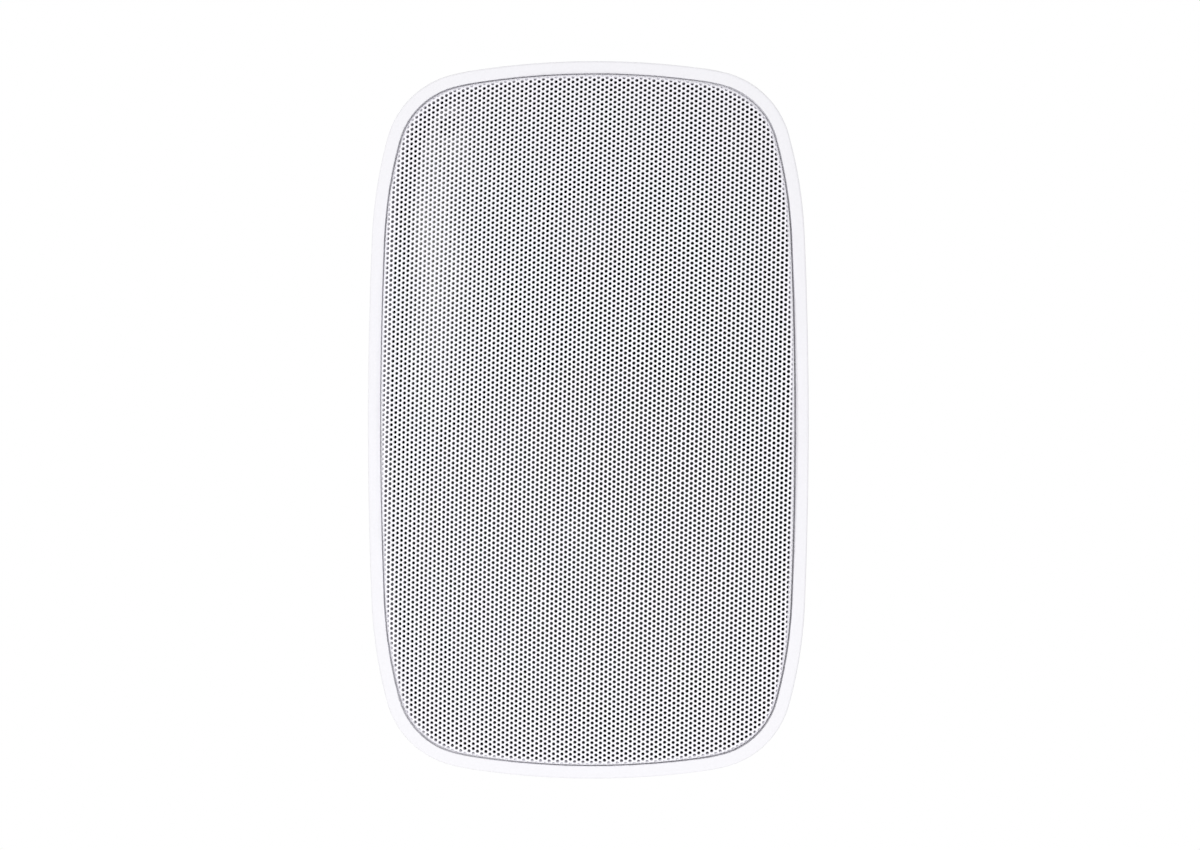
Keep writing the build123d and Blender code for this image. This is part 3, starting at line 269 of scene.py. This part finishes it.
def cell_triangles(corners, rims):
    """Front triangles of holed cells: three in each sixth, between two corners and two sides of the hole."""
    parts = []
    per_side = HOLE_SIDES // 6
    for side in range(6):
        corner, following = corners[:, side], corners[:, (side + 1) % 6]
        first = rims[:, side * per_side]
        middle = rims[:, side * per_side + 1]
        last = rims[:, (side + 1) * per_side % HOLE_SIDES]
        parts += [np.stack(t, -1) for t in ((corner, middle, first), (corner, following, middle),
                                            (following, last, middle))]
    return np.concatenate(parts)


def plain_triangles(corners):
    """Front triangles of cells with no hole."""
    fans = [(0, 1, 2), (0, 2, 3), (0, 3, 5), (3, 4, 5)]
    return np.concatenate([corners[:, fan] for fan in fans])


def border_edges(triangles):
    """Directed edges that only one triangle has."""
    edges = np.concatenate([triangles[:, [0, 1]], triangles[:, [1, 2]], triangles[:, [2, 0]]])
    size = triangles.max() + 1
    keys = edges.min(1).astype(np.int64) * size + edges.max(1)
    _, index, counts = np.unique(keys, return_index=True, return_counts=True)
    return edges[index[counts == 1]]


def walls(a, b, count):
    """Triangles from each edge a-b on the front to the same edge on the back."""
    return np.stack([a, b, b + count], -1), np.stack([a, b + count, a + count], -1)


def grille_piece(name, x, z):
    """One run of columns of the perforated sheet, closed on all sides."""
    _, _, straight, _ = fold(x, z)
    holed = straight == 0
    corner_x, corner_z = around_cells(x, z, HOLE_PITCH / math.sqrt(3), 6)
    rim_x, rim_z = around_cells(x[holed], z[holed], HOLE_RADIUS, HOLE_SIDES)
    keys = np.round(np.stack([corner_x.ravel(), corner_z.ravel()], -1) / SAME_POINT).astype(np.int64)
    _, index, inverse = np.unique(keys, axis=0, return_index=True, return_inverse=True)
    corners = inverse.reshape(-1, 6)
    rims = len(index) + np.arange(rim_x.size).reshape(-1, HOLE_SIDES)
    flat_x = np.concatenate([corner_x.ravel()[index], rim_x.ravel()])
    flat_z = np.concatenate([corner_z.ravel()[index], rim_z.ravel()])
    front, normal, _, ended = fold(flat_x, flat_z)
    back = front - SHEET * normal
    back[ended, 1] = FLANGE_END

    faces = np.concatenate([cell_triangles(corners[holed], rims), plain_triangles(corners[~holed])])
    faces = faces[~ended[faces].all(1)]
    count = len(front)
    rim_edges = np.stack([rims, np.roll(rims, -1, 1)], -1).reshape(-1, 2)
    borders = border_edges(faces)
    is_rim = (borders >= len(index)).all(1)
    edges = borders[~is_rim]
    axis_x = np.repeat(x[holed], HOLE_SIDES)
    axis_z = np.repeat(z[holed], HOLE_SIDES)
    hole_middle, _, _, _ = fold(axis_x, axis_z)
    inward = np.zeros_like(front)
    inward[len(index):] = unit(hole_middle - front[len(index):])

    triangles = [faces, faces[:, ::-1] + count]
    normals = [normal[faces], -normal[faces[:, ::-1]]]
    for wall in walls(rim_edges[:, 0], rim_edges[:, 1], count):
        triangles.append(wall)
        normals.append(inward[wall % count])
    a, b = edges[:, 1], edges[:, 0]
    side = unit(np.cross(front[b] - front[a], normal[a]) + TINY)
    for wall in walls(a, b, count):
        triangles.append(wall)
        normals.append(np.repeat(side[:, None], 3, 1))
    piece = add_mesh(name, np.concatenate([front, back]), np.concatenate(triangles), "grille_white")
    set_normals(piece, np.concatenate(normals))
    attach(piece, "cabinet")
    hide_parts("grille")


def perforated_grille():
    """The whole sheet, cut between columns into pieces of about equal size."""
    x, z, column = lattice()
    corner_x, corner_z = around_cells(x, z, HOLE_PITCH / math.sqrt(3), 6)
    _, _, _, ended = fold(corner_x, corner_z)
    kept = ~ended.all(1)
    x, z, column = x[kept], z[kept], column[kept]
    order = np.sort(column)
    cuts = [order[len(order) * i // GRILLE_PIECES] for i in range(1, GRILLE_PIECES)]
    group = np.searchsorted(cuts, column, side="right")
    for i in range(GRILLE_PIECES):
        grille_piece(f"grille_sheet_{i + 1}", x[group == i], z[group == i])


# Threaded inserts

def threaded_insert(name, node, mouth, inward, aside):
    """A closed brass tube with a helical groove in its bore, sunk from its mouth along a direction."""
    across = np.cross(inward, aside)
    turns = np.arange(THREAD_SIDES) / THREAD_SIDES
    rows = int(INSERT_LENGTH / THREAD_PITCH * THREAD_STEPS)
    depths = [INSERT_CHAMFER, 0.0] + [INSERT_LENGTH * i / rows for i in range(rows + 1)] + [INSERT_LENGTH]
    radii = [np.full(THREAD_SIDES, INSERT_RADIUS), np.full(THREAD_SIDES, INSERT_RADIUS - INSERT_CHAMFER)]
    for i in range(rows + 1):
        wave = np.abs((i / THREAD_STEPS - turns) % 1.0 - 0.5) * 2
        flare = max(INSERT_CHAMFER - depths[i + 2], 0.0)
        radii.append(THREAD_MINOR_RADIUS + np.maximum(THREAD_DEPTH * wave, MOUTH_SLOPE * flare))
    radii.append(np.full(THREAD_SIDES, INSERT_RADIUS))
    points = []
    for depth, radius in zip(depths, radii):
        spread = np.outer(radius * np.cos(2 * math.pi * turns), aside)
        spread = spread + np.outer(radius * np.sin(2 * math.pi * turns), across)
        points.append(mouth + depth * inward + spread)
    points = np.concatenate(points)
    count = len(depths)
    grid = np.arange(count * THREAD_SIDES).reshape(count, THREAD_SIDES)
    after = np.roll(grid, -1, 1)
    low, high = grid, np.roll(grid, -1, 0)
    low_after, high_after = after, np.roll(after, -1, 0)
    triangles = np.concatenate([np.stack([low, high_after, low_after], -1).reshape(-1, 3),
                                np.stack([low, high, high_after], -1).reshape(-1, 3)])
    corners = points[triangles]
    facing = unit(np.cross(corners[:, 1] - corners[:, 0], corners[:, 2] - corners[:, 0]))
    piece = add_mesh(name, points, triangles, "brass")
    set_normals(piece, np.repeat(facing[:, None], 3, 1))
    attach(piece, "cabinet")
    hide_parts(node)


def threaded_inserts():
    """The two inserts in the back and the two in the seats at top and bottom."""
    low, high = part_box("rear_inserts")
    for name, z in (("upper", high.z - INSERT_RADIUS), ("lower", low.z + INSERT_RADIUS)):
        threaded_insert(f"rear_insert_{name}", "rear_inserts", np.array([0.0, high.y, z]),
                        np.array([0.0, -1.0, 0.0]), np.array([1.0, 0.0, 0.0]))
    low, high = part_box("yoke_inserts")
    middle = (low.y + high.y) / 2
    for name, z, inward in (("top", high.z, -1.0), ("bottom", low.z, 1.0)):
        threaded_insert(f"yoke_insert_{name}", "yoke_inserts", np.array([0.0, middle, z]),
                        np.array([0.0, 0.0, inward]), np.array([1.0, 0.0, 0.0]))


# Suspensions: soft rings between a moving diaphragm and what holds it

def roll_section(land_in, roll_in, roll_out, land_out, face, back, rise, sheet):
    """A half roll between two flat lands, as smooth runs of (radius, y) that go round the section."""
    middle, half = (roll_in + roll_out) / 2, (roll_out - roll_in) / 2
    turns = np.linspace(math.pi, 0, ROLL_STEPS + 1)
    over = [(middle + half * math.cos(t), face - rise * math.sin(t)) for t in turns]
    under = [(middle + (half - sheet) * math.cos(t), face - (rise - sheet) * math.sin(t))
             for t in turns[::-1]]
    hollow = [(roll_out - sheet, back), *under, (roll_in + sheet, back)]
    return [[(land_in, back), (land_in, face)], [(land_in, face), (roll_in, face)], over,
            [(roll_out, face), (land_out, face)], [(land_out, face), (land_out, back)],
            [(land_out, back), (roll_out - sheet, back)], hollow, [(roll_in + sheet, back), (land_in, back)]]


def wave_section(inner, outer, land, middle, swing, waves, sheet):
    """A sheet with rings of waves between two flat lands, as smooth runs of (radius, y) round the section."""
    radii = np.linspace(inner + land, outer - land, waves * WAVE_STEPS + 1)
    sway = swing * np.sin(np.linspace(0, 2 * math.pi * waves, len(radii)))
    front = [(inner, middle - sheet / 2), *zip(radii, middle + sway - sheet / 2), (outer, middle - sheet / 2)]
    back = [(outer, middle + sheet / 2), *zip(radii[::-1], middle + sway[::-1] + sheet / 2),
            (inner, middle + sheet / 2)]
    return [front, [front[-1], back[0]], back, [back[-1], front[0]]]


def run_normals(run):
    """Unit normals of a run's points, out of the section, as (radius, y)."""
    steps = unit(np.diff(np.array(run), axis=0))
    around = np.concatenate([steps[:1], steps, steps[-1:]])
    along = unit(around[1:] + around[:-1])
    return np.stack([along[:, 1], -along[:, 0]], -1)


def suspension(name, node, runs, sides, slot):
    """A section turned about the node's axis, in the node's place.
    """
    low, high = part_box(node)
    middle = (low + high) / 2
    runs = [run for run in runs if math.dist(run[0], run[-1]) > 0]
    section = np.array([point for run in runs for point in run[:-1]])
    turns = 2 * math.pi * np.arange(sides) / sides

    def spin(radii, ys):
        return np.stack([np.outer(radii, np.cos(turns)), np.repeat(ys[:, None], sides, 1),
                         np.outer(radii, np.sin(turns))], -1)

    points = spin(section[:, 0], section[:, 1]) + np.array([middle.x, 0.0, middle.z])
    grid = np.arange(points.size // 3).reshape(len(section), sides)
    triangles, normals, first = [], [], 0
    for run in runs:
        rows = (first + np.arange(len(run))) % len(section)
        first += len(run) - 1
        facing = run_normals(run)
        facing = spin(facing[:, 0], facing[:, 1])
        corner, after = grid[rows], np.roll(grid[rows], -1, 1)
        turned = np.roll(facing, -1, 1)
        for a, b, c in (((corner, facing, 0), (corner, facing, 1), (after, turned, 1)),
                        ((corner, facing, 0), (after, turned, 1), (after, turned, 0))):
            picked = [(grids[k:len(run) - 1 + k], vectors[k:len(run) - 1 + k])
                      for grids, vectors, k in (a, b, c)]
            triangles.append(np.stack([p[0] for p in picked], -1).reshape(-1, 3))
            normals.append(np.stack([p[1] for p in picked], -2).reshape(-1, 3, 3))

    # The mesh is first built with each point at its radius along x, then its points are moved round to their
    # places
    opened = np.stack([np.repeat(section[:, :1], sides, 1), points[..., 1], np.zeros(grid.shape)], -1)
    piece = add_mesh(name, opened.reshape(-1, 3), np.concatenate(triangles), slot)
    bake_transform(piece)
    piece.data.vertices.foreach_set("co", np.asarray(points, np.float32).ravel())
    piece.data.update()
    set_normals(piece, np.concatenate(normals))
    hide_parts(node)


def suspensions():
    """The rolled edges of the cone and the dome, and the waved disc that centres the voice coil."""
    low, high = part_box("woofer_surround")
    rim = (high.x - low.x) / 2
    roll_out = rim - SURROUND_LAND
    runs = roll_section(CONE_RADIUS - SURROUND_LAND, CONE_RADIUS, roll_out, rim, high.y - SURROUND_SHEET,
                        high.y, (roll_out - CONE_RADIUS) / 2, SURROUND_SHEET * ROLL_THINNING)
    suspension("woofer_roll", "woofer_surround", runs, SURROUND_SIDES,
               "surround_rubber")

    low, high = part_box("woofer_spider")
    rim = (high.x - low.x) / 2
    runs = wave_section(SPIDER_INNER, rim, SPIDER_LAND, (low.y + high.y) / 2, SPIDER_SWING, SPIDER_WAVES,
                        SPIDER_SHEET)
    suspension("woofer_waved_spider", "woofer_spider", runs,
               SPIDER_SIDES, "spider_cloth")

    low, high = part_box("tweeter_surround")
    rim = (high.x - low.x) / 2
    face = high.y - TWEETER_ROLL_SHEET
    runs = roll_section(DOME_EDGE, DOME_EDGE, TWEETER_ROLL_END, rim, face, high.y, face - low.y,
                        TWEETER_ROLL_SHEET * ROLL_THINNING)
    suspension("tweeter_roll", "tweeter_surround", runs,
               TWEETER_ROLL_SIDES, "surround_rubber")


# Materials

def material(name, color, roughness, grain=0.0008, depth=0.000004, metallic=0.0, tint=0.04,
             gloss_spread=0.04, specular=0.5):
    """A Principled surface whose fine noise varies its colour, roughness and height."""
    made = bpy.data.materials.new(name)
    made.use_nodes = True
    nodes, links = made.node_tree.nodes, made.node_tree.links
    shader = nodes["Principled BSDF"]
    shader.inputs["Metallic"].default_value = metallic
    shader.inputs["Specular IOR Level"].default_value = specular
    place = nodes.new("ShaderNodeTexCoord")
    noise = nodes.new("ShaderNodeTexNoise")
    noise.inputs["Scale"].default_value = 1 / grain
    noise.inputs["Detail"].default_value = NOISE_DETAIL
    links.new(place.outputs["Object"], noise.inputs["Vector"])
    shade = nodes.new("ShaderNodeValToRGB")
    shade.color_ramp.elements[0].position = NOISE_LOW
    shade.color_ramp.elements[1].position = NOISE_HIGH
    shade.color_ramp.elements[0].color = [c * (1 - tint) for c in color] + [1]
    shade.color_ramp.elements[1].color = [min(c * (1 + tint), 1.0) for c in color] + [1]
    links.new(noise.outputs["Fac"], shade.inputs["Fac"])
    links.new(shade.outputs["Color"], shader.inputs["Base Color"])
    gloss = nodes.new("ShaderNodeMapRange")
    gloss.inputs["To Min"].default_value = max(roughness - gloss_spread, LEAST_ROUGHNESS)
    gloss.inputs["To Max"].default_value = min(roughness + gloss_spread, 1.0)
    links.new(noise.outputs["Fac"], gloss.inputs["Value"])
    links.new(gloss.outputs["Result"], shader.inputs["Roughness"])
    bump = nodes.new("ShaderNodeBump")
    bump.inputs["Distance"].default_value = depth
    links.new(noise.outputs["Fac"], bump.inputs["Height"])
    links.new(bump.outputs["Normal"], shader.inputs["Normal"])
    return made


MATERIALS = {
    "cabinet_white": material("white_plastic", (0.849, 0.842, 0.874), 0.72, grain=0.0009, depth=0.00003,
                              tint=0.012),
    "grille_white": material("white_powder_coat", (0.906, 0.894, 0.942), 0.5, grain=0.0006, depth=0.00001,
                             tint=0.015),
    "baffle_black": material("black_baffle", (0.011, 0.011, 0.012), 0.19, depth=0.000001, gloss_spread=0.02,
                             specular=0.26),
    "foam": material("foam", (0.02, 0.02, 0.02), 0.95, grain=0.0012, depth=0.0003),
    "black_screw": material("black_screw", (0.03, 0.03, 0.032), 0.42, metallic=0.6),
    "bright_screw": material("zinc_screw", (0.62, 0.62, 0.64), 0.32, metallic=1.0),
    "brass": material("brass", (0.74, 0.53, 0.24), 0.3, metallic=1.0),
    "basket_steel": material("painted_steel", (0.03, 0.03, 0.03), 0.45),
    "motor_steel": material("plated_steel", (0.55, 0.55, 0.56), 0.35, metallic=1.0),
    "ferrite": material("ferrite", (0.05, 0.05, 0.052), 0.6),
    "surround_rubber": material("rubber", (0.014, 0.014, 0.0145), 0.42, depth=0.000002, specular=0.35),
    "cone_plastic": material("cone_plastic", (0.014, 0.014, 0.015), 0.30, grain=0.0015, depth=0.00001),
    "former_film": material("amber_film", (0.45, 0.2, 0.05), 0.3),
    "copper": material("copper_wire", (0.72, 0.33, 0.18), 0.3, metallic=1.0, grain=0.0003),
    "spider_cloth": material("spider_cloth", (0.5, 0.36, 0.14), 0.85, grain=0.0006, depth=0.0001),
    "dome_silk": material("dome_silk", (0.018, 0.018, 0.019), 0.32, grain=0.0006, depth=0.000003,
                          specular=0.4),
    "terminal_black": material("black_terminal", (0.025, 0.025, 0.026), 0.45, grain=0.0004, depth=0.00001),
    "lever_red": material("red_lever", (0.55, 0.015, 0.015), 0.36, tint=0.03),
    "lever_black": material("black_lever", (0.022, 0.022, 0.023), 0.36),
    "board_green": material("circuit_board", (0.02, 0.13, 0.05), 0.4),
    "capacitor": material("capacitor", (0.05, 0.09, 0.3), 0.35),
}


def dress_nodes():
    """Every CAD node takes the material of its slot in the record."""
    for row in frame["record"]["subparts"]:
        shown = frame["nodes"][row["node"]]
        shown.data.materials.clear()
        shown.data.materials.append(MATERIALS[row["material_slot"]])


# Stage

def direction(azimuth, elevation):
    """Unit vector from the object towards an azimuth (0 in front, 90 on the right) and elevation."""
    a, e = math.radians(azimuth), math.radians(elevation)
    return Vector((math.sin(a) * math.cos(e), -math.cos(a) * math.cos(e), math.sin(e)))


def make_camera():
    """The camera, at the photograph's angle and framing."""
    data = bpy.data.cameras.new("camera")
    data.sensor_width = SENSOR_WIDTH
    data.lens = PIXELS_PER_METRE * CAMERA_DISTANCE * SENSOR_WIDTH / PICTURE_WIDTH
    camera = bpy.data.objects.new("camera", data)
    bpy.context.scene.collection.objects.link(camera)
    towards = direction(CAMERA_AZIMUTH, CAMERA_ELEVATION)
    turn = (-towards).to_track_quat("-Z", "Y")
    right, up = turn @ Vector((1, 0, 0)), turn @ Vector((0, 1, 0))
    aside = (PICTURE_WIDTH / 2 - RIM_MIDDLE_PIXEL[0]) / PIXELS_PER_METRE
    below = (PICTURE_HEIGHT / 2 - RIM_MIDDLE_PIXEL[1]) / PIXELS_PER_METRE
    rim_middle = Vector((0, RIM_FRONT, 0))
    camera.location = rim_middle + towards * CAMERA_DISTANCE + right * aside - up * below
    camera.rotation_mode = "QUATERNION"
    camera.rotation_quaternion = turn
    bpy.context.scene.camera = camera


def make_lamp(name, azimuth, elevation, distance, size, power):
    """A soft lamp that faces the middle of the rim."""
    data = bpy.data.lights.new(name, "AREA")
    data.shape = "RECTANGLE"
    data.size, data.size_y = size
    data.energy = power
    lamp = bpy.data.objects.new(name, data)
    bpy.context.scene.collection.objects.link(lamp)
    towards = direction(azimuth, elevation)
    lamp.location = Vector((0, RIM_FRONT, 0)) + towards * distance
    lamp.rotation_mode = "QUATERNION"
    lamp.rotation_quaternion = (-towards).to_track_quat("-Z", "Y")


def seen_directly(nodes, links):
    """1 for rays that show the background: camera, glossy and transmission rays."""
    path = nodes.new("ShaderNodeLightPath")
    total = path.outputs["Is Camera Ray"]
    for name in ("Is Glossy Ray", "Is Transmission Ray"):
        added = nodes.new("ShaderNodeMath")
        added.operation = "MAXIMUM"
        links.new(total, added.inputs[0])
        links.new(path.outputs[name], added.inputs[1])
        total = added.outputs[0]
    return total


def make_world(ambient):
    """White behind the object, and a softer even light on it."""
    world = bpy.data.worlds.new("studio")
    bpy.context.scene.world = world
    world.use_nodes = True
    nodes, links = world.node_tree.nodes, world.node_tree.links
    background = nodes["Background"]
    background.inputs["Color"].default_value = (1, 1, 1, 1)
    level = nodes.new("ShaderNodeMapRange")
    level.inputs["To Min"].default_value = ambient
    level.inputs["To Max"].default_value = 1.0
    links.new(seen_directly(nodes, links), level.inputs["Value"])
    links.new(level.outputs["Result"], background.inputs["Strength"])


def make_floor(drop, half_size, lift):
    """A pale floor below the mounted speaker, lifted to the background's white where it is seen."""
    mesh = bpy.data.meshes.new("floor")
    z = CAD_LOW.z - drop
    corners = [(-half_size, -half_size, z), (half_size, -half_size, z),
               (half_size, half_size, z), (-half_size, half_size, z)]
    mesh.from_pydata(corners, [], [(0, 1, 2, 3)])
    floor = bpy.data.objects.new("floor", mesh)
    bpy.context.scene.collection.objects.link(floor)
    pale = material("pale_floor", (0.82, 0.82, 0.82), 0.8, grain=0.02, tint=0.01)
    nodes, links = pale.node_tree.nodes, pale.node_tree.links
    shader = nodes["Principled BSDF"]
    shader.inputs["Emission Color"].default_value = (1, 1, 1, 1)
    level = nodes.new("ShaderNodeMapRange")
    level.inputs["To Max"].default_value = lift
    links.new(seen_directly(nodes, links), level.inputs["Value"])
    links.new(level.outputs["Result"], shader.inputs["Emission Strength"])
    mesh.materials.append(pale)


make_camera()
dress_nodes()
perforated_grille()
threaded_inserts()
suspensions()
make_world(ambient=0.73)
make_lamp("key", azimuth=-32.2, elevation=7.9, distance=1.5, size=(0.18, 0.18), power=5.6)
make_lamp("low_fill", azimuth=24, elevation=-38, distance=1.4, size=(1.0, 0.6), power=5.6)
make_lamp("rear_fill", azimuth=152, elevation=38, distance=1.6, size=(1.2, 0.8), power=4.6)
make_floor(drop=1.3, half_size=6.0, lift=0.42)

bpy.context.scene.view_settings.view_transform = "Standard"
